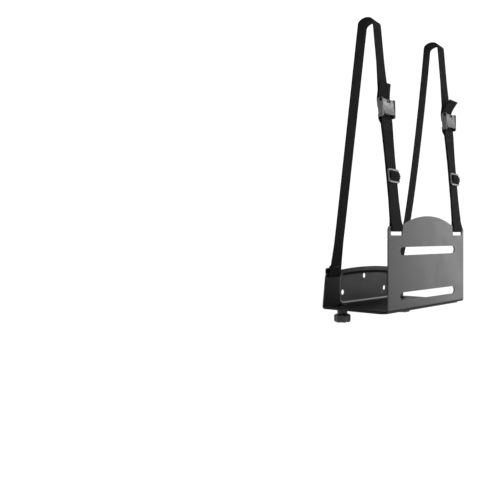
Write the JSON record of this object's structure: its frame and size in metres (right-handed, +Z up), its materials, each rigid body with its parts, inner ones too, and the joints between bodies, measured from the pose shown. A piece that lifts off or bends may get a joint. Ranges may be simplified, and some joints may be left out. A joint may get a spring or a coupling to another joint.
{
  "type": "cpu holder",
  "caption": "Wall or desk-side computer holder: two steel brackets that slide apart, clamp knobs under the floor and two webbing straps with cam buckles over the top.",
  "frame": {"origin": "midway between the two lower wall screws, on the wall plane", "axes": "X along the brackets, +Y into the wall, +Z up"},
  "size_m": [0.2, 0.1198, 0.4216],
  "materials": {
    "wall_bracket_coat": "fine textured black powder coat",
    "outer_bracket_coat": "fine textured dark grey powder coat",
    "webbing": "woven black polypropylene webbing",
    "zinc": "black zinc plated",
    "cam_steel": "satin nickel plate",
    "cam_lever_steel": "satin nickel plate",
    "tri_glide_steel": "satin nickel plate",
    "spring_steel": "drawn spring wire",
    "knob_plastic": "moulded nylon",
    "brass": "machined"
  },
  "bodies": {
    "wall_bracket": {"wall_bracket": "wall_bracket_coat", "wall_webbing_left": "webbing", "wall_webbing_right": "webbing"},
    "outer_bracket": {"outer_bracket": "outer_bracket_coat", "carriage_bolt_left": "zinc", "carriage_bolt_right": "zinc", "long_webbing_left": "webbing", "long_webbing_right": "webbing", "short_webbing_left": "webbing", "short_webbing_right": "webbing", "cam_frame_left": "cam_steel", "cam_frame_right": "cam_steel", "cam_pin_left": "zinc", "cam_pin_right": "zinc", "cam_spring_left": "spring_steel", "cam_spring_right": "spring_steel"},
    "clamp_washer_left": {"clamp_washer_left": "zinc"},
    "clamp_knob_left": {"clamp_knob_left": "knob_plastic", "knob_insert_left": "brass"},
    "cam_lever_left": {"cam_lever_left": "cam_lever_steel"},
    "tri_glide_left": {"tri_glide_left": "tri_glide_steel", "glide_fold_left": "webbing"},
    "clamp_washer_right": {"clamp_washer_right": "zinc"},
    "clamp_knob_right": {"clamp_knob_right": "knob_plastic", "knob_insert_right": "brass"},
    "cam_lever_right": {"cam_lever_right": "cam_lever_steel"},
    "tri_glide_right": {"tri_glide_right": "tri_glide_steel", "glide_fold_right": "webbing"}
  },
  "joints": [
    {"name": "width_slide", "type": "slide", "parent": "wall_bracket", "child": "outer_bracket", "axis": [0, -1, 0], "range_m": [0, 0.08], "deforming": ["wall_webbing_left", "wall_webbing_right"]},
    {"name": "clamp_drop_left", "type": "slide", "parent": "outer_bracket", "child": "clamp_washer_left", "axis": [0, 0, -1], "range_m": [0, 0.002]},
    {"name": "knob_turn_left", "type": "hinge", "parent": "clamp_washer_left", "child": "clamp_knob_left", "pos_m": [-0.076, -0.0205, -0.035], "axis": [0, 0, -1], "range_deg": [0, 720]},
    {"name": "cam_press_left", "type": "hinge", "parent": "outer_bracket", "child": "cam_lever_left", "pos_m": [-0.081, -0.10199, 0.26314], "axis": [1, 0, 0], "range_deg": [0, 11], "stiffness_Nm_per_rad": 0.05, "springref_deg": -20.05},
    {"name": "glide_slide_left", "type": "slide", "parent": "outer_bracket", "child": "tri_glide_left", "axis": [0, 0.1115, 0.9938], "range_m": [-0.03, 0.025]},
    {"name": "clamp_drop_right", "type": "slide", "parent": "outer_bracket", "child": "clamp_washer_right", "axis": [0, 0, -1], "range_m": [0, 0.002]},
    {"name": "knob_turn_right", "type": "hinge", "parent": "clamp_washer_right", "child": "clamp_knob_right", "pos_m": [0.076, -0.0205, -0.035], "axis": [0, 0, -1], "range_deg": [0, 720]},
    {"name": "cam_press_right", "type": "hinge", "parent": "outer_bracket", "child": "cam_lever_right", "pos_m": [0.081, -0.10397, 0.26731], "axis": [1, 0, 0], "range_deg": [0, 11], "stiffness_Nm_per_rad": 0.05, "springref_deg": -20.05},
    {"name": "glide_slide_right", "type": "slide", "parent": "outer_bracket", "child": "tri_glide_right", "axis": [0, 0.0976, 0.9952], "range_m": [-0.03, 0.025]}
  ],
  "couplings": [
    {"joint": "knob_turn_left", "follows": "clamp_drop_left", "rad_per_m": 6283.2},
    {"joint": "knob_turn_right", "follows": "clamp_drop_right", "rad_per_m": 6283.2}
  ]
}
